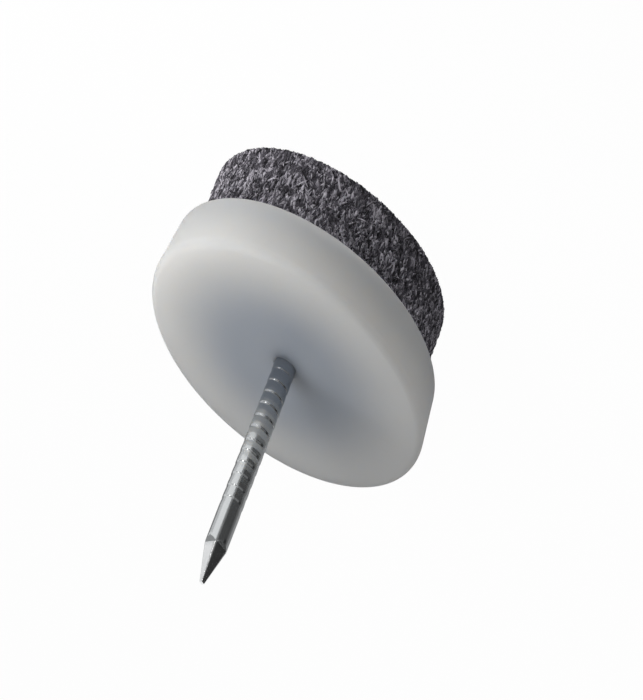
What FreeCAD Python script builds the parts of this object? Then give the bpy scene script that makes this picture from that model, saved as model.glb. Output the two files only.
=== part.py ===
import FreeCAD, Part
import os

import Sketcher

# Nail-on furniture glide: a moulded plastic disc with a felt pad glued into its underside
# and a ringed wire nail pressed through its middle, head down on the felt.
# The glide stands on its felt: the origin is the centre of the felt's sliding face and
# the nail points up along +Z.

# Driving dimensions, in millimetres, with angles in degrees
SIZES = [
    ("base_diameter", 20.0, "plastic disc across its felt side"),
    ("rim_wall", 1.1, "plastic wall around the felt seat"),
    ("web_thickness", 2.0, "plastic between the nail's head and the leg face"),
    ("side_draft", 8.5, "lean of the disc's side, outwards towards the nail, in degrees"),
    ("face_edge_radius", 0.5, "soft edge around the leg face"),
    ("rim_edge", 0.2, "bevelled outer edge on the felt side"),
    ("felt_thickness", 5.0, "felt pad from sliding face to glued face"),
    ("felt_seat_depth", 0.7, "how deep the felt sits in the plastic"),
    ("felt_edge", 0.15, "pressed-in edge of the sliding face"),
    ("felt_clearance", 0.1, "gap between the felt and its seat's wall"),
    ("nail_diameter", 1.6, "wire of the nail"),
    ("nail_length", 16.0, "nail from under its head to its tip"),
    ("head_diameter", 3.6, "flat head of the nail"),
    ("head_thickness", 0.7, "flat head of the nail"),
    ("head_edge_radius", 0.15, "outer edge of the head"),
    ("head_clearance", 0.1, "gap around the head, and between the head and the felt"),
    ("shank_clearance", 0.02, "gap between the shank and its bore"),
    ("mouth_chamfer", 0.1, "countersink where the shank leaves the leg face"),
    ("ring_width", 0.52, "one gripping groove along the shank"),
    ("ring_land", 0.24, "ridge of full wire between two grooves"),
    ("ring_flank", 0.12, "steep side of a groove, towards the head, along the shank"),
    ("ring_depth", 0.03, "depth of a gripping groove"),
    ("first_ring", 0.62, "from the leg face to the bottom of the first groove"),
    ("plain_length", 2.1, "smooth shank between the last groove and the point"),
    ("point_length", 2.3, "diamond point, from its tip to the step where its flats end"),
    ("point_flat", 0.26, "blunt end of the point, across its flats"),
    ("point_step", 0.19, "depth of the step where the flats end"),
    ("point_lead", 45, "slope of that step out to the wire, in degrees"),
]
POINT_FACETS = 4
FULL_TURN = 360
NEAR = 1e-6

# Sizes and places that follow from the driving dimensions
RIM = "Sizes.base_diameter / 2"
FELT_SEAT = f"{RIM} - Sizes.rim_wall"
FELT = f"{FELT_SEAT} - Sizes.felt_clearance"
SHANK = "Sizes.nail_diameter / 2"
BORE = f"{SHANK} + Sizes.shank_clearance"
HEAD = "Sizes.head_diameter / 2"
HEAD_POCKET = f"{HEAD} + Sizes.head_clearance"
HEAD_SEAT = "Sizes.felt_seat_depth + Sizes.head_clearance + Sizes.head_thickness"
BASE_HEIGHT = f"{HEAD_SEAT} + Sizes.web_thickness"
FACE = f"{RIM} + ({BASE_HEIGHT}) * tan(Sizes.side_draft * 1 deg)"
BASE_BOTTOM = "Sizes.felt_thickness - Sizes.felt_seat_depth"
NAIL_BOTTOM = "Sizes.felt_thickness + Sizes.head_clearance"

# Heights along the nail, from the flat of its head
LEG_FACE = "Sizes.head_thickness + Sizes.web_thickness"
FIRST_RING = f"{LEG_FACE} + Sizes.first_ring"
TIP = "Sizes.head_thickness + Sizes.nail_length"
POINT_NECK = f"{SHANK} - Sizes.point_step"
NECK = f"{TIP} - Sizes.point_length"
LEAD = "tan(Sizes.point_lead * 1 deg)"
POINT_START = f"{NECK} - Sizes.point_step / {LEAD}"
RING_RUN = "Sizes.ring_width - Sizes.ring_flank"
RING_ROOM = f"{POINT_START} - Sizes.plain_length - ({RING_RUN}) - ({FIRST_RING})"
RING_PITCH = "Sizes.ring_width + Sizes.ring_land"
RING_COUNT = f"floor(({RING_ROOM}) / ({RING_PITCH})) + 1"
RING_BOTTOM = f"{SHANK} - Sizes.ring_depth"
RING_MOUTH = f"{SHANK} + Sizes.ring_depth"
POINT_FLAT = "Sizes.point_flat / 2"
CUT_REACH = "Sizes.nail_diameter"
CUT_FOOT = f"{NECK} - ({CUT_REACH} - ({POINT_NECK})) / {LEAD}"


def make_sheet(doc):
    """Write the driving dimensions to the document's sheet, one alias a row."""
    sheet = doc.addObject("Spreadsheet::Sheet", "Sizes")
    for row, (alias, value, meaning) in enumerate(SIZES, 1):
        sheet.set(f"A{row}", str(value))
        sheet.setAlias(f"A{row}", alias)
        sheet.set(f"B{row}", meaning)
    doc.recompute()


def make_body(doc, label):
    body = doc.addObject("PartDesign::Body", label)
    body.Label = label
    return body


def origin_feature(body, role):
    return next(item for item in body.Origin.OriginFeatures if item.Role == role)


def make_sketch(body, name, role):
    """Start a sketch on one of the body's own origin planes."""
    sketch = body.newObject("Sketcher::SketchObject", name)
    sketch.AttachmentSupport = [(origin_feature(body, role), "")]
    sketch.MapMode = "FlatFace"
    return sketch


def value_of(item, expression):
    """Work out an expression on the sheet."""
    return float(item.evalExpression(expression))


def dimension(sketch, kind, geometry, point, expression):
    """Tie one distance from the sketch's origin to an expression on the sheet."""
    value = value_of(sketch, expression)
    index = sketch.addConstraint(Sketcher.Constraint(kind, -1, 1, geometry, point, value))
    sketch.setExpression(f"Constraints[{index}]", expression)


def draw_section(sketch, corners):
    """Draw a closed section through corners given as expressions for radius and height."""
    count = len(corners)
    spots = [
        FreeCAD.Vector(value_of(sketch, radius), value_of(sketch, height), 0)
        for radius, height in corners
    ]
    for i in range(count):
        sketch.addGeometry(Part.LineSegment(spots[i], spots[(i + 1) % count]), False)
    for i in range(count):
        sketch.addConstraint(Sketcher.Constraint("Coincident", i, 2, (i + 1) % count, 1))
    for i, (radius, height) in enumerate(corners):
        last_radius, last_height = corners[i - 1]
        if radius == last_radius:
            sketch.addConstraint(Sketcher.Constraint("Vertical", (i - 1) % count))
        elif radius == "0":
            sketch.addConstraint(Sketcher.Constraint("PointOnObject", i, 1, -2))
        else:
            dimension(sketch, "DistanceX", i, 1, radius)
        if height == last_height:
            sketch.addConstraint(Sketcher.Constraint("Horizontal", (i - 1) % count))
        elif height == "0":
            sketch.addConstraint(Sketcher.Constraint("PointOnObject", i, 1, -1))
        else:
            dimension(sketch, "DistanceY", i, 1, height)


def draw_disc(sketch, radius):
    """Draw a circle around the sketch's origin whose radius is an expression."""
    size = value_of(sketch, radius)
    circle = sketch.addGeometry(Part.Circle(FreeCAD.Vector(), FreeCAD.Vector(0, 0, 1), size), False)
    sketch.addConstraint(Sketcher.Constraint("Coincident", circle, 3, -1, 1))
    index = sketch.addConstraint(Sketcher.Constraint("Radius", circle, size))
    sketch.setExpression(f"Constraints[{index}]", radius)


def turn_section(doc, body, name, corners):
    """Turn a section around the body's vertical axis."""
    sketch = make_sketch(body, f"{name}_section", "XZ_Plane")
    draw_section(sketch, corners)
    turned = body.newObject("PartDesign::Revolution", name)
    turned.Profile = sketch
    turned.ReferenceAxis = (sketch, ["V_Axis"])
    turned.Angle = FULL_TURN
    doc.recompute()
    return turned


def circular_edge(feature, radius, height):
    """Name the edge of a feature that circles the axis at this radius and height."""
    radius = value_of(feature, radius)
    height = value_of(feature, height)
    for number, edge in enumerate(feature.Shape.Edges, 1):
        curve = edge.Curve
        if not isinstance(curve, Part.Circle):
            continue
        if abs(curve.Radius - radius) < NEAR and abs(curve.Center.z - height) < NEAR:
            return f"Edge{number}"
    raise RuntimeError(f"{feature.Name} has no edge at radius {radius} and height {height}")


def dress_edge(doc, body, kind, name, feature, edge, size, value):
    """Round or chamfer one edge of a feature."""
    dressed = body.newObject(kind, name)
    dressed.Base = (feature, [edge])
    dressed.setExpression(size, value)
    doc.recompute()
    return dressed


def require_cut(before, after):
    """Stop if a cut took nothing off the solid."""
    if after.Shape.Volume > before.Shape.Volume - NEAR:
        raise RuntimeError(f"{after.Name} cut nothing")


def make_glide_body(doc):
    """The moulded disc: tapered side, soft leg face, felt seat, head pocket and nail bore."""
    body = make_body(doc, "glide_body")
    disc = turn_section(doc, body, "disc", [
        (FELT_SEAT, "0"),
        (RIM, "0"),
        (FACE, BASE_HEIGHT),
        (BORE, BASE_HEIGHT),
        (BORE, HEAD_SEAT),
        (HEAD_POCKET, HEAD_SEAT),
        (HEAD_POCKET, "Sizes.felt_seat_depth"),
        (FELT_SEAT, "Sizes.felt_seat_depth"),
    ])
    edge = circular_edge(disc, FACE, BASE_HEIGHT)
    soft = dress_edge(
        doc, body, "PartDesign::Fillet", "soft_face_edge", disc, edge,
        "Radius", "Sizes.face_edge_radius",
    )
    edge = circular_edge(soft, RIM, "0")
    bevelled = dress_edge(
        doc, body, "PartDesign::Chamfer", "rim_bevel", soft, edge,
        "Size", "Sizes.rim_edge",
    )
    edge = circular_edge(bevelled, BORE, BASE_HEIGHT)
    dress_edge(
        doc, body, "PartDesign::Chamfer", "bore_mouth", bevelled, edge,
        "Size", "Sizes.mouth_chamfer",
    )
    body.setExpression("Placement.Base.z", BASE_BOTTOM)
    return body


def make_nail(doc):
    """The wire nail: flat head, shank with gripping grooves, and a four-sided diamond point."""
    body = make_body(doc, "nail")
    wire = turn_section(doc, body, "wire", [
        ("0", "0"),
        (HEAD, "0"),
        (HEAD, "Sizes.head_thickness"),
        (SHANK, "Sizes.head_thickness"),
        (SHANK, TIP),
        ("0", TIP),
    ])
    edge = circular_edge(wire, HEAD, "0")
    headed = dress_edge(
        doc, body, "PartDesign::Fillet", "head_edge", wire, edge,
        "Radius", "Sizes.head_edge_radius",
    )

    # One groove, repeated along the shank between the leg face and the smooth end;
    # its flanks run on past the wire, so the cut is twice as deep and wide as the groove
    ring_sketch = make_sketch(body, "ring_section", "XZ_Plane")
    draw_section(ring_sketch, [
        (RING_BOTTOM, FIRST_RING),
        (RING_MOUTH, f"{FIRST_RING} - 2 * Sizes.ring_flank"),
        (RING_MOUTH, f"{FIRST_RING} + 2 * ({RING_RUN})"),
    ])
    ring = body.newObject("PartDesign::Groove", "ring")
    ring.Profile = ring_sketch
    ring.ReferenceAxis = (ring_sketch, ["V_Axis"])
    ring.Angle = FULL_TURN
    doc.recompute()
    require_cut(headed, ring)
    rings = body.newObject("PartDesign::LinearPattern", "rings")
    rings.Originals = [ring]
    rings.Direction = (origin_feature(body, "Z_Axis"), [""])
    rings.Mode = "Spacing"
    rings.setExpression("Offset", RING_PITCH)
    rings.setExpression("Occurrences", RING_COUNT)
    body.Tip = rings
    doc.recompute()

    # One flat of the point with the step at its end, cut across the wire and repeated around it
    flat_sketch = make_sketch(body, "point_flat_section", "XZ_Plane")
    draw_section(flat_sketch, [
        (POINT_FLAT, TIP),
        (POINT_NECK, NECK),
        (CUT_REACH, CUT_FOOT),
        (CUT_REACH, f"{TIP} + {CUT_REACH}"),
        (POINT_FLAT, f"{TIP} + {CUT_REACH}"),
    ])
    flat = body.newObject("PartDesign::Pocket", "point_flat")
    flat.Profile = flat_sketch
    flat.SideType = "Symmetric"
    flat.setExpression("Length", f"2 * {CUT_REACH}")
    doc.recompute()
    require_cut(rings, flat)
    point = body.newObject("PartDesign::PolarPattern", "point")
    point.Originals = [flat]
    point.Axis = (origin_feature(body, "Z_Axis"), [""])
    point.Angle = FULL_TURN
    point.Occurrences = POINT_FACETS
    body.Tip = point
    doc.recompute()
    require_cut(flat, point)
    body.setExpression("Placement.Base.z", NAIL_BOTTOM)
    return body


def make_felt_pad(doc):
    """The felt pad, a plain disc with its sliding edge pressed in a little."""
    body = make_body(doc, "felt_pad")
    sketch = make_sketch(body, "pad_outline", "XY_Plane")
    draw_disc(sketch, FELT)
    disc = body.newObject("PartDesign::Pad", "pad")
    disc.Profile = sketch
    disc.setExpression("Length", "Sizes.felt_thickness")
    doc.recompute()
    edge = circular_edge(disc, FELT, "0")
    dress_edge(
        doc, body, "PartDesign::Chamfer", "sliding_edge", disc, edge,
        "Size", "Sizes.felt_edge",
    )
    return body


def check(doc, bodies):
    """Stop before anything is written if an object failed or a sub-part is not one sound solid."""
    for item in doc.Objects:
        if "Invalid" in item.State or "Error" in item.State:
            raise RuntimeError(f"{item.Name} did not compute: {item.State}")
    for body in bodies:
        shape = body.Shape
        if shape.isNull() or not shape.isValid() or len(shape.Solids) != 1:
            raise RuntimeError(f"{body.Label} is not one valid solid")


def main():
    doc = FreeCAD.newDocument("glide")
    make_sheet(doc)
    bodies = [make_glide_body(doc), make_nail(doc), make_felt_pad(doc)]
    doc.recompute()
    check(doc, bodies)
    os.makedirs("parts", exist_ok=True)
    for body in bodies:
        body.Shape.exportStep(f"parts/{body.Label}.step")
        box = body.Shape.BoundBox
        print(f"{body.Label}: {body.Shape.Volume:.2f} mm3, height {box.ZMin:.3f} to {box.ZMax:.3f}")


main()
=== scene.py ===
import math

import bmesh
import bpy
import numpy as np
from bpy.props import FloatProperty, FloatVectorProperty, IntProperty, PointerProperty
from mathutils import Matrix, Vector, noise


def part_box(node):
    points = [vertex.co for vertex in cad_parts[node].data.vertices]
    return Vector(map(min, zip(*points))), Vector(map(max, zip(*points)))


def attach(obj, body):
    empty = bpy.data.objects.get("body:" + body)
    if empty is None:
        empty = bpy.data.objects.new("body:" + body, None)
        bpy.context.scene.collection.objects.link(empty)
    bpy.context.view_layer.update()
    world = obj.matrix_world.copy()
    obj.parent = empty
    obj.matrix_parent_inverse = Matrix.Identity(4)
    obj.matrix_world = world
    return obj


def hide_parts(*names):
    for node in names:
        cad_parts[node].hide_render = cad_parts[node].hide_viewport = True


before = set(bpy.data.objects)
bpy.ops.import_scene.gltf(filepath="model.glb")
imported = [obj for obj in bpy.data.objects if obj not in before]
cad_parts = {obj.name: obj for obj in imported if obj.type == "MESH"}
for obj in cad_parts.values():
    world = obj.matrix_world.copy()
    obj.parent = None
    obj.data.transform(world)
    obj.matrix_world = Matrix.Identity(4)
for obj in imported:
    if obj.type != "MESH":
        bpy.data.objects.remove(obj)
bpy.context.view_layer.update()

bl_info = {
    "name": "Nail-on furniture glide",
    "version": (1, 0, 0),
    "blender": (4, 5, 0),
    "location": "3D View > Sidebar > Glide",
    "description": "Dresses a furniture glide: moulded disc, ringed nail, felt pad and a white stage",
    "category": "Object",
}

# Lengths are in metres, as in the frame
MM = 0.001
SEED = 20

# The picture's size in pixels, and the sensor along its long side in millimetres
PICTURE_WIDTH = 643
PICTURE_HEIGHT = 700
SENSOR = 36.0

BODY_LOW, BODY_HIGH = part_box("glide_body")
NAIL_LOW, NAIL_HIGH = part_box("nail")
FELT_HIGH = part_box("felt_pad")[1]


def length(name, description, default):
    return FloatProperty(name=name, description=description, default=default, unit="LENGTH", precision=6)


def angle(name, description, degrees):
    return FloatProperty(name=name, description=description, default=math.radians(degrees), subtype="ANGLE")


def number(name, description, default):
    return FloatProperty(name=name, description=description, default=default, precision=4)


def count(name, description, default):
    return IntProperty(name=name, description=description, default=default, min=1)


def colour(name, description, default):
    return FloatVectorProperty(
        name=name, description=description, default=default, subtype="COLOR", min=0, max=1,
    )


class GlideDisc(bpy.types.PropertyGroup):
    """Sizes and colours of the moulded plastic disc."""
    base_diameter: length("Base diameter", "Disc across its felt side", 20.0 * MM)
    rim_wall: length("Rim wall", "Wall around the felt seat", 1.1 * MM)
    seat_depth: length("Seat depth", "How deep the felt sits", FELT_HIGH.z - BODY_LOW.z)
    side_draft: angle("Side draft", "Lean of the side, outwards towards the nail", 8.5)
    face_edge: length("Face edge", "Radius of the soft edge around the leg face", 0.5 * MM)
    rim_edge: length("Rim edge", "Radius of the edge on the felt side", 0.2 * MM)
    pocket_radius: length("Pocket radius", "Pocket for the nail's head", 1.9 * MM)
    pocket_depth: length("Pocket depth", "From the felt seat to under the head", 0.8 * MM)
    bore_radius: length("Bore radius", "Bore for the shank", 0.82 * MM)
    mouth: length("Mouth", "Countersink where the shank comes out", 0.1 * MM)
    segments: count("Segments", "Facets around the disc", 256)
    soak: length("Soak", "How far light travels inside the plastic", 7.0 * MM)
    # Painted shade: inside this radius the plastic's colour is painted darker and bluer where the felt lies
    # behind it, blending out to the plastic's own pale colour at the rim
    painted_shade_radius: length("Glow start", "Radius inside which the felt behind darkens the plastic", 3.5 * MM)
    painted_shade_over_felt: colour("Over felt", "Plastic with the dark felt behind it", (0.41, 0.45, 0.515))
    rim: colour("Rim", "Plastic at the rim, with no felt behind it", (0.78, 0.78, 0.77))


class GlideNail(bpy.types.PropertyGroup):
    """Sizes and colours of the ringed wire nail."""
    wire_radius: length("Wire radius", "Radius of the shank", 0.8 * MM)
    head_radius: length("Head radius", "Radius of the flat head", NAIL_HIGH.x)
    head_thickness: length("Head thickness", "Thickness of the flat head", 0.7 * MM)
    head_edge: length("Head edge", "Radius of the head's edge", 0.15 * MM)
    first_ring: length("First ring", "From the leg face to the first groove's bottom", 0.62 * MM)
    ring_pitch: length("Ring pitch", "From one groove to the next", 0.76 * MM)
    ring_flank: length("Ring flank", "Steep side of a groove, towards the head", 0.12 * MM)
    ring_run: length("Ring run", "Gentle side of a groove, towards the point", 0.4 * MM)
    ring_depth: length("Ring depth", "Depth of one groove", 0.03 * MM)
    ring_count: count("Rings", "Gripping grooves", 12)
    point_length: length("Point length", "Diamond point, up to the step where its flats end", 2.3 * MM)
    point_flat: length("Point flat", "Blunt end of the point across its flats", 0.26 * MM)
    point_step: length("Point step", "Depth of the step where the flats end", 0.19 * MM)
    point_lead: angle("Point lead", "Slope of that step out to the wire", 45.0)
    ridge: length("Ridge", "Softness of the line between the wire and the flats", 0.02 * MM)
    ridge_power: number("Ridge power", "Sharpness of the ridges between the flats", 10.0)
    segments: count("Segments", "Facets around the wire", 160)
    # Painted shade: zinc painted darker around the first rings, by the leg face
    painted_shade_zinc: colour("Dull zinc", "Zinc around the first rings", (0.37, 0.39, 0.42))
    bright: colour("Bright zinc", "Zinc on the smooth stretch", (0.64, 0.66, 0.67))
    cut: colour("Cut steel", "Freshly cut flats of the point", (0.84, 0.85, 0.86))


class GlideFelt(bpy.types.PropertyGroup):
    """Sizes and colours of the felt pad."""
    radius: length("Radius", "Radius of the pad", FELT_HIGH.x)
    thickness: length("Thickness", "Sliding face to glued face", FELT_HIGH.z)
    edge: length("Edge", "Pressed-in edge of the sliding face", 0.15 * MM)
    fuzz: length("Fuzz", "How uneven the matted surface is", 0.06 * MM)
    fibre_length: length("Fibre length", "Mean length of a loose fibre", 0.36 * MM)
    fibre_radius: length("Fibre radius", "Mean radius of a fibre", 0.052 * MM)
    fibre_count: count("Fibres", "Loose fibres in each layer", 9000)
    segments: count("Segments", "Facets around the pad", 480)
    dark: colour("Dark fibres", "Darkest fibres", (0.03, 0.029, 0.034))
    grey: colour("Grey fibres", "Middle fibres", (0.18, 0.172, 0.203))
    pale: colour("Pale fibres", "Palest fibres", (0.80, 0.77, 0.86))


class GlideStage(bpy.types.PropertyGroup):
    """The view, the lights and the floor."""
    azimuth: angle("Azimuth", "Direction to the camera, from -Y towards +X", 35.0)
    elevation: angle("Elevation", "Direction to the camera above the floor", 27.14)
    roll: angle("Roll", "Turn of the camera around its own axis", 207.5)
    squeeze: number("Squeeze", "Width of the picture over its true width", 0.7402)
    lens: number("Lens", "Focal length in millimetres", 1200.0)
    scale: number("Scale", "Pixels for one millimetre across the picture", 14.244)
    root_right: number("Root right", "Nail root in the picture, pixels from the left", 284.9)
    root_down: number("Root down", "Nail root in the picture, pixels from the top", 367.9)
    key_side: angle("Key side", "Softbox, from the camera's side towards its right", 67.0)
    key_rise: angle("Key rise", "Softbox above the floor", 38.0)
    key_power: number("Key power", "Power of the softbox in watts", 0.0154)
    glint_side: angle("Glint side", "Low strip light, from the camera's side towards its right", 52.0)
    glint_power: number("Glint power", "Power of the low strip light in watts", 0.004)
    sky_power: number("Sky power", "Power of the sky panel in watts", 0.004)
    fill_side: angle("Fill side", "Low fill, from the camera's side towards its right", -80.0)
    fill_power: number("Fill power", "Power of the low fill in watts", 0.006)
    ambient: number("Ambient", "Strength of the light from all around", 0.125)
    floor: colour("Floor", "Colour of the floor and the backdrop", (1.0, 1.0, 1.0))


class Level:
    """A socket's value in a shader, for use in Python expressions."""

    def __init__(self, nodes, socket):
        self.nodes = nodes
        self.socket = socket

    def math(self, operation, first, second):
        return self.nodes.add("ShaderNodeMath", {"operation": operation}, {0: first, 1: second})

    def __add__(self, other):
        return self.math("ADD", self, other)

    def __sub__(self, other):
        return self.math("SUBTRACT", self, other)

    def __rsub__(self, other):
        return self.math("SUBTRACT", other, self)

    def __mul__(self, other):
        return self.math("MULTIPLY", self, other)

    __radd__ = __add__
    __rmul__ = __mul__


class Nodes:
    """The nodes of one material or of the world."""

    def __init__(self, owner):
        owner.use_nodes = True
        self.tree = owner.node_tree
        self.tree.nodes.clear()

    def add(self, kind, settings=None, inputs=None, output=0):
        """Add a node, set it up, fill its sockets and return one output."""
        node = self.tree.nodes.new(kind)
        for name, value in (settings or {}).items():
            if name == "stops":
                self.set_stops(node.color_ramp, value)
            else:
                setattr(node, name, value)
        for name, value in (inputs or {}).items():
            if isinstance(value, Level):
                self.tree.links.new(value.socket, node.inputs[name])
            else:
                node.inputs[name].default_value = value
        if not node.outputs:
            return None
        return Level(self, node.outputs[output])

    @staticmethod
    def set_stops(ramp, stops):
        while len(ramp.elements) < len(stops):
            ramp.elements.new(1.0)
        for element, (place, shade) in zip(ramp.elements, stops):
            element.position = place
            element.color = rgba(shade)

    def place(self):
        """Where a point of the surface is, in the frame."""
        return self.add("ShaderNodeTexCoord", output="Object")

    def stretched(self, vector, scale):
        """Coordinates scaled by a vector."""
        settings = {"vector_type": "POINT"}
        return self.add("ShaderNodeMapping", settings, {"Vector": vector, "Scale": scale})

    def height(self, vector):
        return self.add("ShaderNodeSeparateXYZ", {}, {"Vector": vector}, "Z")

    def distance(self, vector):
        return self.add("ShaderNodeVectorMath", {"operation": "LENGTH"}, {0: vector}, "Value")

    def smooth(self, level, start, end):
        """Rise smoothly from 0 to 1 as a level goes from start to end."""
        settings = {"interpolation_type": "SMOOTHSTEP"}
        inputs = {"Value": level, "From Min": start, "From Max": end}
        return self.add("ShaderNodeMapRange", settings, inputs)

    def noise(self, vector, scale, detail=2.0, rough=0.5):
        inputs = {"Vector": vector, "Scale": scale, "Detail": detail, "Roughness": rough}
        return self.add("ShaderNodeTexNoise", {}, inputs, "Fac")

    def ramp(self, level, stops):
        return self.add("ShaderNodeValToRGB", {"stops": stops}, {"Fac": level}, "Color")

    def mix(self, factor, first, second):
        """Blend two colours."""
        settings = {"data_type": "RGBA"}
        return self.add("ShaderNodeMix", settings, {0: factor, 6: first, 7: second}, 2)

    def bump(self, height, distance, strength):
        inputs = {"Height": height, "Distance": distance, "Strength": strength}
        return self.add("ShaderNodeBump", {}, inputs)

    def surface(self, shader):
        self.add("ShaderNodeOutputMaterial", {}, {"Surface": shader})


def rgba(shade):
    return (*shade, 1.0)


def grey(level):
    return (level, level, level)


def new_material(name):
    material = bpy.data.materials.new(name)
    return material, Nodes(material)


# Materials

# Noise scales in lumps per metre
PLASTIC_CLOUDS = 260.0
PLASTIC_GRAIN = 16000.0
ZINC_SCRATCHES = 9000.0
ZINC_CLOUDS = 1600.0
FELT_MOTTLE = 3200.0

# How flat the scratches and the mottle are along the axis, against their width
SCRATCH_STRETCH = (1.0, 1.0, 0.06)
MOTTLE_STRETCH = (1.0, 1.0, 0.45)

# Heights of the fine bumps
PLASTIC_BUMP = 0.006 * MM
ZINC_BUMP = 0.002 * MM
FELT_BUMP = 0.05 * MM

# Length from the leg face over which the painted shade at the nail's root fades into bright zinc, and of
# the blend into the cut flats
ROOT_SHADE_RUN = 7.0 * MM
CUT_BLEND = (-0.1 * MM, 0.4 * MM)


def natural_plastic(sizes):
    """Milky plastic that light soaks into, with painted shade: its colour is painted darker and bluer over
    the felt and stays pale towards the rim.
    """
    material, nodes = new_material("natural_plastic")
    place = nodes.place()
    clouds = nodes.noise(place, PLASTIC_CLOUDS, 3.0)
    grain = nodes.noise(place, PLASTIC_GRAIN, 2.0)
    outwards = nodes.distance(nodes.stretched(place, (1.0, 1.0, 0.0)))
    # Painted shade: blend from the darker, bluer colour painted over the felt to the plastic's own pale
    # colour at the rim, with random clouding
    pale = nodes.smooth(outwards, sizes.painted_shade_radius, sizes.base_diameter / 2)
    pale = pale + (clouds - 0.5) * 0.12
    shader = nodes.add("ShaderNodeBsdfPrincipled", {}, {
        "Base Color": nodes.mix(pale, rgba(sizes.painted_shade_over_felt), rgba(sizes.rim)),
        "Roughness": 0.52 + clouds * 0.1 + grain * 0.08,
        "IOR": 1.5,
        "Specular IOR Level": 0.3,
        "Subsurface Weight": 1.0,
        "Subsurface Radius": (1.0, 0.9, 0.78),
        "Subsurface Scale": sizes.soak,
        "Normal": nodes.bump(grain, PLASTIC_BUMP, 0.35),
    })
    nodes.surface(shader)
    return material


def zinc_steel(sizes):
    """Drawn zinc wire with painted shade darkening it around the rings near the root, bright towards the
    cut point, with fine scratches.
    """
    material, nodes = new_material("bright_steel")
    place = nodes.place()
    drawn = nodes.noise(nodes.stretched(place, SCRATCH_STRETCH), ZINC_SCRATCHES, 3.0, 0.6)
    clouds = nodes.noise(place, ZINC_CLOUDS, 3.0, 0.6)
    height = nodes.height(place)
    # Painted shade on the zinc near the root, fading out with height, with some random clouding
    past_root_shade = nodes.smooth(height, BODY_HIGH.z, BODY_HIGH.z + ROOT_SHADE_RUN) + (clouds - 0.5) * 0.3
    flats_end = NAIL_HIGH.z - sizes.point_length
    fresh = nodes.smooth(height, flats_end + CUT_BLEND[0], flats_end + CUT_BLEND[1])
    wire = nodes.mix(past_root_shade, rgba(sizes.painted_shade_zinc), rgba(sizes.bright))
    shader = nodes.add("ShaderNodeBsdfPrincipled", {}, {
        "Base Color": nodes.mix(fresh, wire, rgba(sizes.cut)),
        "Metallic": 1.0,
        "Roughness": 0.11 + clouds * 0.1 + drawn * 0.06,
        "Normal": nodes.bump(drawn, ZINC_BUMP, 0.3),
    })
    nodes.surface(shader)
    return material


def felt_core(sizes):
    """Matted wool below the loose fibres, mottled along the pad's thickness."""
    material, nodes = new_material("grey_felt_core")
    place = nodes.stretched(nodes.place(), MOTTLE_STRETCH)
    mottle = nodes.noise(place, FELT_MOTTLE, 4.0, 0.7)
    shade = nodes.ramp(mottle, [(0.36, sizes.dark), (0.52, sizes.grey), (0.70, sizes.pale)])
    shader = nodes.add("ShaderNodeBsdfPrincipled", {}, {
        "Base Color": shade,
        "Roughness": 0.95,
        "Specular IOR Level": 0.15,
        "Normal": nodes.bump(mottle, FELT_BUMP, 0.6),
    })
    nodes.surface(shader)
    return material


def felt_fibre(sizes):
    """Wool fibres, each with a tone of its own."""
    material, nodes = new_material("grey_felt_fibre")
    tone = nodes.add("ShaderNodeAttribute", {"attribute_name": "tone"}, {}, "Fac")
    shade = nodes.ramp(tone, [(0.0, sizes.dark), (0.55, sizes.grey), (1.0, sizes.pale)])
    shader = nodes.add("ShaderNodeBsdfPrincipled", {}, {
        "Base Color": shade,
        "Roughness": 0.8,
        "Specular IOR Level": 0.2,
    })
    nodes.surface(shader)
    return material


# Meshes

# Edges sharper than these stay sharp
DISC_CREASE = math.radians(25.0)
NAIL_CREASE = math.radians(40.0)
FELT_CREASE = math.radians(60.0)

# Points along the disc's section
RIM_EDGE_STEPS = 8
SIDE_STEPS = 16
FACE_EDGE_STEPS = 20
FACE_STEPS = 48

# Rows of the nail for each groove, and how uneven grooves are in place and tilt, in millimetres
ROWS_PER_RING = 24
RING_SHIFT = 0.01
RING_TILT = 0.02

# Sizes of the felt's lumps and of clumps of one tone, and the height over which lumps fade out
LUMP_SIZE = 0.22 * MM
CLUMP_SIZE = 0.4 * MM
SEAT_FADE = 0.1 * MM


def new_piece(name, points, faces, material, crease):
    """Make a smooth mesh object whose edges sharper than the crease stay sharp."""
    mesh = bpy.data.meshes.new(name)
    mesh.from_pydata(points.tolist(), [], faces)
    work = bmesh.new()
    work.from_mesh(mesh)
    bmesh.ops.recalc_face_normals(work, faces=work.faces)
    work.to_mesh(mesh)
    work.free()
    mesh.shade_smooth()
    mesh.set_sharp_from_angle(angle=crease)
    mesh.materials.append(material)
    piece = bpy.data.objects.new(name, mesh)
    bpy.context.scene.collection.objects.link(piece)
    return piece


def skin_faces(rows, segments, closed):
    """Quads over rings of points. A closed skin joins its last ring to its first, others get end caps."""
    index = np.arange(rows * segments).reshape(rows, segments)
    lower = index if closed else index[:-1]
    upper = np.roll(index, -1, axis=0) if closed else index[1:]
    quads = np.stack([lower, np.roll(lower, -1, axis=1), np.roll(upper, -1, axis=1), upper], axis=-1)
    faces = quads.reshape(-1, 4).tolist()
    if not closed:
        faces.append(index[0].tolist())
        faces.append(index[-1].tolist())
    return faces


def full_turn(segments):
    return np.linspace(0.0, 2.0 * math.pi, segments, endpoint=False)


def rings_of(radii, heights, angles):
    """Points of rings around Z, from radii of shape rows by segments."""
    heights = np.broadcast_to(np.asarray(heights)[:, None], radii.shape)
    return np.stack([radii * np.cos(angles), radii * np.sin(angles), heights], axis=-1)


def arc(centre, radius, start, end, steps):
    """Points of an arc in a section of radius and height."""
    turns = np.linspace(start, end, steps)
    return [(centre[0] + radius * math.cos(a), centre[1] + radius * math.sin(a)) for a in turns]


def spread(start, end, steps):
    """Points on a straight stretch of a section, without its ends."""
    shares = np.linspace(0.0, 1.0, steps + 2)[1:-1]
    return [tuple(np.add(start, np.subtract(end, start) * share)) for share in shares]


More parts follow.
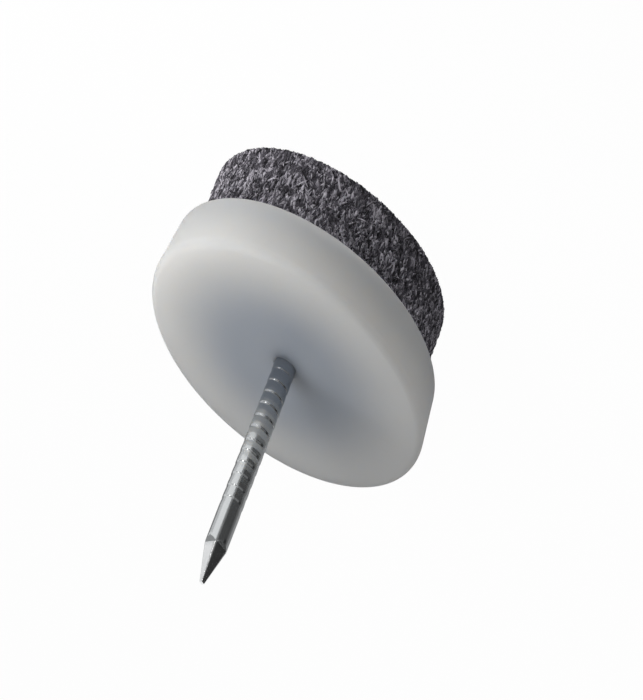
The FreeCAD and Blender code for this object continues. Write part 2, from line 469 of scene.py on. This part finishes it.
def disc_section(sizes):
    """The moulded disc's closed section: rim, side, soft face edge, leg face, bore, pocket and seat."""
    low = BODY_LOW.z
    high = BODY_HIGH.z
    draft = sizes.side_draft
    rim = sizes.base_diameter / 2
    seat = rim - sizes.rim_wall
    seat_height = low + sizes.seat_depth
    head_seat = seat_height + sizes.pocket_depth

    def side(height, inset):
        return rim + (height - low) * math.tan(draft) - inset / math.cos(draft)

    rim_centre = (side(low + sizes.rim_edge, sizes.rim_edge), low + sizes.rim_edge)
    face_centre = (side(high - sizes.face_edge, sizes.face_edge), high - sizes.face_edge)
    rim_edge = arc(rim_centre, sizes.rim_edge, -math.pi / 2, -draft, RIM_EDGE_STEPS)
    face_edge = arc(face_centre, sizes.face_edge, -draft, math.pi / 2, FACE_EDGE_STEPS)
    mouth = (sizes.bore_radius + sizes.mouth, high)
    section = [(seat, low), *rim_edge, *spread(rim_edge[-1], face_edge[0], SIDE_STEPS)]
    section += [*face_edge, *spread(face_edge[-1], mouth, FACE_STEPS), mouth]
    section += [
        (sizes.bore_radius, high - sizes.mouth),
        (sizes.bore_radius, head_seat),
        (sizes.pocket_radius, head_seat),
        (sizes.pocket_radius, seat_height),
        (seat, seat_height),
    ]
    return np.array(section)


def make_disc(sizes):
    section = disc_section(sizes)
    angles = full_turn(sizes.segments)
    radii = np.repeat(section[:, :1], sizes.segments, axis=1)
    points = rings_of(radii, section[:, 1], angles).reshape(-1, 3)
    faces = skin_faces(len(section), sizes.segments, True)
    return new_piece("plastic_disc", points, faces, natural_plastic(sizes), DISC_CREASE)


def nail_heights(sizes):
    """Rows of the nail from under its head to its tip, close together where its form needs them."""
    foot = NAIL_LOW.z
    tip = NAIL_HIGH.z
    neck = foot + sizes.head_thickness
    first = BODY_HIGH.z + sizes.first_ring - 2 * sizes.ring_flank
    last = first + sizes.ring_count * sizes.ring_pitch
    flats_end = tip - sizes.point_length
    shoulder = flats_end - sizes.point_step / math.tan(sizes.point_lead)
    return np.concatenate([
        np.linspace(foot, foot + sizes.head_edge, 6, endpoint=False),
        np.linspace(foot + sizes.head_edge, neck, 3),
        np.linspace(neck, first, 8),
        np.linspace(first, last, sizes.ring_count * ROWS_PER_RING, endpoint=False)[1:],
        np.linspace(last, shoulder, 6, endpoint=False),
        np.linspace(shoulder, flats_end, 16, endpoint=False),
        np.linspace(flats_end, tip, 36),
    ])


def groove_depth(sizes, heights, angles):
    """How deep the gripping grooves are, each a little different in place, depth and tilt."""
    random = np.random.default_rng(SEED)
    depth = np.zeros((len(heights), len(angles)))
    for ring in range(sizes.ring_count):
        bottom = BODY_HIGH.z + sizes.first_ring + ring * sizes.ring_pitch
        bottom += random.normal(0.0, RING_SHIFT) * MM
        tilt = random.normal(0.0, RING_TILT) * MM
        start = random.uniform(0.0, 2.0 * math.pi)
        deep = sizes.ring_depth * random.uniform(0.85, 1.1)
        across = heights[:, None] - bottom - tilt * np.cos(angles - start)
        reach = np.where(across < 0, sizes.ring_flank, sizes.ring_run)
        depth += deep * np.clip(1 - np.abs(across) / reach, 0.0, 1.0)
    return depth


def flat_reach(sizes, heights):
    """How far the point's flats lie from the axis at each height."""
    tip_half = sizes.point_flat / 2
    end_half = sizes.wire_radius - sizes.point_step
    below = NAIL_HIGH.z - heights
    on_flat = tip_half + (end_half - tip_half) * below / sizes.point_length
    on_step = end_half + (below - sizes.point_length) * math.tan(sizes.point_lead)
    return np.where(below < sizes.point_length, on_flat, on_step)


def square_turn(angles, power):
    """Share of a square's corner distance at each angle, with its corners a little rounded."""
    return (np.abs(np.cos(angles)) ** power + np.abs(np.sin(angles)) ** power) ** (1 / power)


def make_nail(sizes):
    heights = nail_heights(sizes)
    angles = full_turn(sizes.segments)
    neck = NAIL_LOW.z + sizes.head_thickness
    radii = sizes.wire_radius - groove_depth(sizes, heights, angles)

    # The four flats of the point and the step at their end, blended into the wire
    reach = flat_reach(sizes, heights)[:, None] / square_turn(angles, sizes.ridge_power)
    gap = np.clip(0.5 + (radii - reach) / (2 * sizes.ridge), 0.0, 1.0)
    radii = reach * gap + radii * (1 - gap) - sizes.ridge * gap * (1 - gap)

    # The flat head, with the row at its underside doubled
    head = np.full(len(heights), sizes.head_radius)
    drop = np.clip(1 - (heights - NAIL_LOW.z) / sizes.head_edge, 0.0, 1.0)
    head -= sizes.head_edge * (1 - np.sqrt(1 - drop ** 2))
    rows = np.arange(len(heights))
    in_head = rows <= np.argmax(np.isclose(heights, neck))
    radii = np.where(in_head[:, None], head[:, None], radii)
    points = rings_of(radii, heights, angles).reshape(-1, 3)
    faces = skin_faces(len(heights), sizes.segments, False)
    return new_piece("ringed_nail", points, faces, zinc_steel(sizes), NAIL_CREASE)


def felt_radius(sizes, heights):
    """Radius of the pad's side, drawn in at its sliding edge."""
    lift = np.clip(1 - np.asarray(heights) / sizes.edge, 0.0, 1.0)
    return sizes.radius - sizes.edge * (1 - np.sqrt(1 - lift ** 2)) - sizes.fuzz


def uneven(points, size):
    """Soft noise from -1 to 1 at each point, with lumps of about this size."""
    return np.array([noise.fractal(Vector(p) / size, 0.6, 2.0, 3) for p in points])


def make_felt_core(sizes):
    angles = full_turn(sizes.segments)
    floor_rows = np.linspace(0.3 * MM, sizes.radius - sizes.edge - sizes.fuzz, 34, endpoint=False)
    side_heights = np.concatenate([
        sizes.edge * (1 - np.cos(np.linspace(0.0, math.pi / 2, 8))),
        np.linspace(sizes.edge, sizes.thickness, 70)[1:],
    ])
    section = np.concatenate([
        np.stack([floor_rows, np.zeros(len(floor_rows))], axis=1),
        np.stack([felt_radius(sizes, side_heights), side_heights], axis=1),
    ])
    radii = np.repeat(section[:, :1], sizes.segments, axis=1)
    points = rings_of(radii, section[:, 1], angles).reshape(-1, 3)

    # Lumps push the side in and out and the sliding face up, and fade out inside the seat
    lumps = uneven(points, LUMP_SIZE) * sizes.fuzz
    seat = np.clip((BODY_LOW.z - points[:, 2]) / SEAT_FADE, 0.0, 1.0)
    out = points[:, :2] / np.linalg.norm(points[:, :2], axis=1, keepdims=True)
    on_side = np.repeat(np.arange(len(section)) >= len(floor_rows), sizes.segments)
    points[:, :2] += out * (lumps * seat * on_side)[:, None]
    points[:, 2] += np.where(on_side, 0.0, np.abs(lumps))
    faces = skin_faces(len(section), sizes.segments, False)
    return new_piece("felt_core", points, faces, felt_core(sizes), FELT_CREASE)


# Loose fibres: name of each layer, whether it lies on the side, and how far it lifts off
FIBRE_LAYERS = (
    ("felt_fibres_under", True, 0.02 * MM),
    ("felt_fibres_over", True, 0.04 * MM),
    ("felt_fibres_foot", False, 0.04 * MM),
)
FIBRE_SIDES = 3

# Thickness at each ring of a fibre, and the spreads of its lean and bend in radians
FIBRE_TAPER = (0.45, 1.0, 1.0, 0.45)
FIBRE_RINGS = len(FIBRE_TAPER)
FIBRE_LEAN = 0.6
FIBRE_BEND = 0.4


def fibre_paths(sizes, number_of, random, on_side, lift):
    """Middle lines of loose fibres lying on the pad, fibres by rings by xyz."""
    share = np.linspace(-0.5, 0.5, FIBRE_RINGS)
    run = sizes.fibre_length * random.lognormal(-0.1, 0.45, number_of)
    lean = random.normal(math.pi / 2, FIBRE_LEAN, number_of)
    bend = random.normal(0.0, FIBRE_BEND, number_of)
    turn = lean[:, None] + bend[:, None] * share
    along = np.cos(turn) * run[:, None] * share
    up = np.sin(turn) * run[:, None] * share
    arch = 1 - (2 * share) ** 2
    height = random.uniform(0.0, lift, number_of)[:, None]
    height = height + arch * random.uniform(0.0, lift, number_of)[:, None]
    if on_side:
        rise = random.uniform(0.02 * MM, BODY_LOW.z - 0.02 * MM, number_of)[:, None] + up
        rise = np.clip(rise, 0.03 * MM, BODY_LOW.z - 0.04 * MM)
        radius = felt_radius(sizes, rise) + height
        around = random.uniform(0.0, 2.0 * math.pi, number_of)[:, None] + along / radius
        return np.stack([radius * np.cos(around), radius * np.sin(around), rise], axis=-1)
    reach = (sizes.radius - sizes.edge) * np.sqrt(random.uniform(0.0, 1.0, number_of))
    around = random.uniform(0.0, 2.0 * math.pi, number_of)
    spin = random.uniform(0.0, 2.0 * math.pi, number_of)[:, None]
    right = reach[:, None] * np.cos(around)[:, None] + along * np.cos(spin) - up * np.sin(spin)
    ahead = reach[:, None] * np.sin(around)[:, None] + along * np.sin(spin) + up * np.cos(spin)
    limit = (sizes.radius - sizes.edge) / np.maximum(np.hypot(right, ahead), sizes.radius - sizes.edge)
    above = np.clip(sizes.fibre_radius * 2 + sizes.fuzz / 2 - height / 2, sizes.fibre_radius * 2, None)
    return np.stack([right * limit, ahead * limit, np.broadcast_to(above, right.shape)], axis=-1)


def lay_bake_map(piece, number_of, faces):
    """Give each fibre a cell of its own in a map, which all its faces share."""
    cells = math.ceil(math.sqrt(number_of))
    square = np.array([(0.1, 0.1), (0.9, 0.1), (0.9, 0.9), (0.1, 0.9)])
    corners = np.concatenate([square[:len(face)] for face in faces])
    order = np.arange(number_of)
    origins = np.stack([order % cells, order // cells], axis=1)
    places = (origins[:, None, :] + corners) / cells
    layer = piece.data.uv_layers.new(name="OFBake")
    layer.data.foreach_set("uv", places.ravel().astype(np.float32))


def make_fibres(name, sizes, paths, random, material):
    """Thin three-sided tubes along the paths, each with one tone."""
    number_of = len(paths)
    ahead = np.gradient(paths, axis=1)
    ahead /= np.linalg.norm(ahead, axis=2, keepdims=True) + 1e-12
    across = np.cross(ahead, random.normal(0.0, 1.0, (number_of, 1, 3)))
    across /= np.linalg.norm(across, axis=2, keepdims=True) + 1e-12
    over = np.cross(ahead, across)
    thick = sizes.fibre_radius * random.lognormal(0.0, 0.3, number_of)
    spokes = full_turn(FIBRE_SIDES)
    size = (thick[:, None] * np.array(FIBRE_TAPER))[:, :, None, None]
    ring = across[:, :, None, :] * np.cos(spokes)[:, None]
    ring = ring + over[:, :, None, :] * np.sin(spokes)[:, None]
    points = (paths[:, :, None, :] + ring * size).reshape(-1, 3)
    points[:, 2] = np.maximum(points[:, 2], 0.0)

    one = skin_faces(FIBRE_RINGS, FIBRE_SIDES, False)
    each = FIBRE_RINGS * FIBRE_SIDES
    faces = [[corner + fibre * each for corner in face] for fibre in range(number_of) for face in one]
    piece = new_piece(name, points, faces, material, math.pi)

    clump = uneven(paths[:, 1] * (1.0, 1.0, 0.6), CLUMP_SIZE)
    tone = np.clip(0.5 + 0.45 * clump + random.normal(0.0, 0.3, number_of), 0.0, 1.0)
    layer = piece.data.attributes.new("tone", "FLOAT", "POINT")
    layer.data.foreach_set("value", np.repeat(tone, each).astype(np.float32))
    lay_bake_map(piece, number_of, one)
    return piece


# Stage

# Share of the floor's colour that glows in the camera and in reflections, over its shadow
FLOOR_GLOW = 0.98
FLOOR_REACH = 3.0

KEY_REACH = 46.0 * MM
KEY_SIZE = (42.0 * MM, 42.0 * MM)
KEY_SHADE = (1.0, 0.985, 0.96)
GLINT_REACH = 100.0 * MM
GLINT_HEIGHT = 15.0 * MM
GLINT_SIZE = (16.0 * MM, 9.0 * MM)
FILL_REACH = 90.0 * MM
FILL_RISE = math.radians(8.0)
FILL_SIZE = (60.0 * MM, 40.0 * MM)
SKY_REACH = 150.0 * MM
SKY_SIZE = (100.0 * MM, 100.0 * MM)
SKY_SHADE = (0.6, 0.8, 1.0)

# Reaches of the glowing reflection screens from the axis, and how high they lie or start over the floor
DISC_SIDE = 13.0 * MM
NEAR_SIDE = 60.0 * MM
FAR_SIDE = 90.0 * MM
BACK_SIDE = 115.0 * MM
SHEET_RISE = 0.2 * MM
WALL_RISE = 60.0 * MM


def sheet(end):
    """Section of a screen that lies just over the floor, from beside the disc out to a reach."""
    return (DISC_SIDE, SHEET_RISE), (end, SHEET_RISE)


def wall(reach, low, high):
    """Section of a screen that stands upright."""
    return (reach, low), (reach, high)


# Glowing screens that paint reflections on the nail: name, degrees around from the camera's side, section
# and tone
SCREEN_STEPS = 32
SCREENS = (
    ("half_sheet", (26.0, 8.0), sheet(NEAR_SIDE), 0.26),
    ("dark_sheet", (8.0, -80.0), sheet(NEAR_SIDE), 0.075),
    ("dim_sheet", (-80.0, -106.0), sheet(NEAR_SIDE), 0.16),
    ("side_sheet", (-106.0, -180.0), sheet(FAR_SIDE), 0.35),
    ("slate_wall", (8.0, -50.0), wall(NEAR_SIDE, SHEET_RISE, WALL_RISE), 0.2),
    ("black_wall", (-50.0, -80.0), wall(NEAR_SIDE, SHEET_RISE, WALL_RISE), 0.03),
    ("dim_wall", (-80.0, -106.0), wall(NEAR_SIDE, SHEET_RISE, WALL_RISE), 0.2),
    ("high_wall", (-50.0, -106.0), wall(NEAR_SIDE, WALL_RISE, 100.0 * MM), 0.03),
    ("grey_sheet", (125.0, 178.0), sheet(FAR_SIDE), 0.25),
    ("pale_sheet", (88.0, 125.0), sheet(NEAR_SIDE), 0.68),
    ("grey_wall", (8.0, 140.0), wall(BACK_SIDE, SHEET_RISE, 120.0 * MM), 0.35),
)


def stage_axes(sizes):
    """Level directions: towards the camera, and to its right as it stands unrolled."""
    turn = sizes.azimuth
    return Vector((math.sin(turn), -math.cos(turn), 0.0)), Vector((math.cos(turn), math.sin(turn), 0.0))


def towards(sizes, side, rise):
    """A direction, by its angles from the camera's side towards its right and above the floor."""
    front, right = stage_axes(sizes)
    level = front * math.cos(side) + right * math.sin(side)
    return level * math.cos(rise) + Vector((0.0, 0.0, math.sin(rise)))


def make_camera(sizes):
    """The camera at the photographed angle, on a slanted mount that squeezes the picture sideways."""
    front, right = stage_axes(sizes)
    back = front * math.cos(sizes.elevation) + Vector((0.0, 0.0, math.sin(sizes.elevation)))
    above = back.cross(right)
    image_right = right * math.cos(sizes.roll) + above * math.sin(sizes.roll)
    image_up = above * math.cos(sizes.roll) - right * math.sin(sizes.roll)

    step = MM / sizes.scale
    aim = Vector((0.0, 0.0, BODY_HIGH.z))
    aim += image_right * (PICTURE_WIDTH / 2 - sizes.root_right) * step
    aim += image_up * (sizes.root_down - PICTURE_HEIGHT / 2) * step * sizes.squeeze
    distance = sizes.lens * PICTURE_HEIGHT / (SENSOR * sizes.scale) * MM
    slant = image_up * sizes.squeeze + back * math.sqrt(1 - sizes.squeeze ** 2)
    mount = Matrix.Identity(4)
    for column, axis in enumerate((image_right, slant, back, aim + back * distance)):
        mount.col[column][:3] = axis

    data = bpy.data.cameras.new("camera")
    data.lens = sizes.lens
    data.sensor_width = SENSOR
    data.clip_start = 0.01
    data.clip_end = 10.0
    camera = bpy.data.objects.new("camera", data)
    holder = bpy.data.objects.new("camera_mount", None)
    for item in (camera, holder):
        bpy.context.scene.collection.objects.link(item)
    camera.parent = holder
    camera.matrix_parent_inverse = mount
    bpy.context.scene.camera = camera


def make_panel_light(name, place, aim, size, power, shade):
    """A soft square light that the camera does not see."""
    data = bpy.data.lights.new(name, "AREA")
    data.shape = "RECTANGLE"
    data.size, data.size_y = size
    data.energy = power
    data.color = shade
    lamp = bpy.data.objects.new(name, data)
    lamp.location = place
    lamp.rotation_mode = "QUATERNION"
    lamp.rotation_quaternion = (place - aim).to_track_quat("Z", "Y")
    lamp.visible_camera = False
    bpy.context.scene.collection.objects.link(lamp)
    return lamp


def white_floor(sizes):
    """A floor that shows white to the camera and in reflections, and keeps a faint shadow."""
    material, nodes = new_material("white_floor")
    seen = nodes.add("ShaderNodeLightPath", output="Is Camera Ray")
    mirrored = nodes.add("ShaderNodeLightPath", output="Is Glossy Ray")
    shadowed = nodes.add("ShaderNodeBsdfDiffuse", {}, {"Color": rgba(sizes.floor)})
    bright = nodes.add("ShaderNodeEmission", {}, {"Color": rgba(sizes.floor), "Strength": 1.0})
    share = (seen + mirrored) * FLOOR_GLOW
    nodes.surface(nodes.add("ShaderNodeMixShader", {}, {0: share, 1: shadowed, 2: bright}))
    return material


def reflection_glow(name, tone):
    """A glow of one even tone, whatever light falls on it, for a screen that paints a reflection."""
    material, nodes = new_material(name)
    nodes.surface(nodes.add("ShaderNodeEmission", {}, {"Color": rgba(grey(tone)), "Strength": 1.0}))
    return material


def make_floor(sizes):
    square = np.array([(-1.0, -1.0, 0.0), (1.0, -1.0, 0.0), (1.0, 1.0, 0.0), (-1.0, 1.0, 0.0)])
    floor = new_piece("floor", square * FLOOR_REACH, [[0, 1, 2, 3]], white_floor(sizes), math.pi)


def make_screen(name, sizes, sides, section, tone):
    """A glowing screen bent around the object, seen only in reflections, that paints a reflection of one
    tone on the nail.
    """
    turns = np.radians(np.linspace(*sides, SCREEN_STEPS))
    points = [
        towards(sizes, turn, 0.0) * reach + Vector((0.0, 0.0, rise))
        for turn in turns
        for reach, rise in section
    ]
    first = np.arange(0, 2 * (SCREEN_STEPS - 1), 2)
    faces = np.stack([first, first + 1, first + 3, first + 2], axis=1).tolist()
    screen = new_piece(name, np.array(points), faces, reflection_glow(name, tone), math.pi)
    screen.visible_camera = False
    screen.visible_diffuse = False
    screen.visible_shadow = False
    screen.visible_transmission = False


def make_world(sizes):
    world = bpy.data.worlds.new("studio")
    bpy.context.scene.world = world
    nodes = Nodes(world)
    seen = nodes.add("ShaderNodeLightPath", output="Is Camera Ray")
    mirrored = nodes.add("ShaderNodeLightPath", output="Is Glossy Ray")
    white = seen + mirrored
    glow = FLOOR_GLOW + (1 - FLOOR_GLOW) * sizes.ambient
    strength = white * glow + (1 - white) * sizes.ambient
    background = nodes.add("ShaderNodeBackground", {}, {"Color": rgba(sizes.floor), "Strength": strength})
    nodes.add("ShaderNodeOutputWorld", {}, {"Surface": background})


# Operators


def dress(piece, node):
    """Put a piece on the object: hide the solid it stands for, and attach it to the body it moves with."""
    if node:
        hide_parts(node)
    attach(piece, "root")


class GLIDE_OT_disc(bpy.types.Operator):
    """Make the moulded plastic disc"""
    bl_idname = "glide.disc"
    bl_label = "Plastic disc"

    def execute(self, context):
        disc = make_disc(context.scene.glide_disc)
        dress(disc, "glide_body")
        return {"FINISHED"}


class GLIDE_OT_nail(bpy.types.Operator):
    """Make the ringed wire nail"""
    bl_idname = "glide.nail"
    bl_label = "Ringed nail"

    def execute(self, context):
        nail = make_nail(context.scene.glide_nail)
        dress(nail, "nail")
        return {"FINISHED"}


class GLIDE_OT_felt(bpy.types.Operator):
    """Make the felt pad and its loose fibres"""
    bl_idname = "glide.felt"
    bl_label = "Felt pad"

    def execute(self, context):
        sizes = context.scene.glide_felt
        core = make_felt_core(sizes)
        dress(core, "felt_pad")
        random = np.random.default_rng(SEED)
        material = felt_fibre(sizes)
        for name, on_side, lift in FIBRE_LAYERS:
            paths = fibre_paths(sizes, sizes.fibre_count, random, on_side, lift)
            dress(make_fibres(name, sizes, paths, random, material), None)
        return {"FINISHED"}


class GLIDE_OT_stage(bpy.types.Operator):
    """Make the floor, the lights, the glowing screens that paint reflections, and the camera"""
    bl_idname = "glide.stage"
    bl_label = "White stage"

    def execute(self, context):
        sizes = context.scene.glide_stage
        context.scene.view_settings.view_transform = "Standard"
        middle = Vector((0.0, 0.0, BODY_HIGH.z))
        make_floor(sizes)
        make_world(sizes)
        # Glowing screens, seen only in reflections, paint the nail's reflections
        for name, sides, section, tone in SCREENS:
            make_screen(name, sizes, sides, section, tone)
        key = middle + towards(sizes, sizes.key_side, sizes.key_rise) * KEY_REACH
        softbox = make_panel_light("key_softbox", key, middle, KEY_SIZE, sizes.key_power, KEY_SHADE)
        softbox.visible_glossy = False
        glint = towards(sizes, sizes.glint_side, 0.0) * GLINT_REACH
        glint.z = GLINT_HEIGHT
        aim = Vector((0.0, 0.0, GLINT_HEIGHT))
        make_panel_light("glint_strip", glint, aim, GLINT_SIZE, sizes.glint_power, KEY_SHADE)
        sky = middle + Vector((0.0, 0.0, SKY_REACH))
        make_panel_light("sky_panel", sky, middle, SKY_SIZE, sizes.sky_power, SKY_SHADE)
        side = middle + towards(sizes, sizes.fill_side, FILL_RISE) * FILL_REACH
        low_fill = make_panel_light("side_fill", side, middle, FILL_SIZE, sizes.fill_power, KEY_SHADE)
        low_fill.visible_glossy = False
        make_camera(sizes)
        return {"FINISHED"}


class VIEW3D_PT_glide(bpy.types.Panel):
    """Lists the glide's pieces and their sizes"""
    bl_label = "Furniture glide"
    bl_idname = "VIEW3D_PT_glide"
    bl_space_type = "VIEW_3D"
    bl_region_type = "UI"
    bl_category = "Glide"

    def draw(self, context):
        for operator, group in PIECES:
            box = self.layout.box()
            box.operator(operator)
            sizes = getattr(context.scene, group)
            for name in sizes.bl_rna.properties.keys():
                if name not in {"rna_type", "name"}:
                    box.prop(sizes, name)


PIECES = (
    ("glide.disc", "glide_disc"),
    ("glide.nail", "glide_nail"),
    ("glide.felt", "glide_felt"),
    ("glide.stage", "glide_stage"),
)
GROUPS = {
    "glide_disc": GlideDisc,
    "glide_nail": GlideNail,
    "glide_felt": GlideFelt,
    "glide_stage": GlideStage,
}
CLASSES = (
    *GROUPS.values(),
    GLIDE_OT_disc,
    GLIDE_OT_nail,
    GLIDE_OT_felt,
    GLIDE_OT_stage,
    VIEW3D_PT_glide,
)


def register():
    for item in CLASSES:
        bpy.utils.register_class(item)
    for name, group in GROUPS.items():
        setattr(bpy.types.Scene, name, PointerProperty(type=group))


def unregister():
    for name in GROUPS:
        delattr(bpy.types.Scene, name)
    for item in reversed(CLASSES):
        bpy.utils.unregister_class(item)


def main():
    register()
    bpy.ops.glide.disc()
    bpy.ops.glide.nail()
    bpy.ops.glide.felt()
    bpy.ops.glide.stage()


if __name__ == "__main__":
    main()
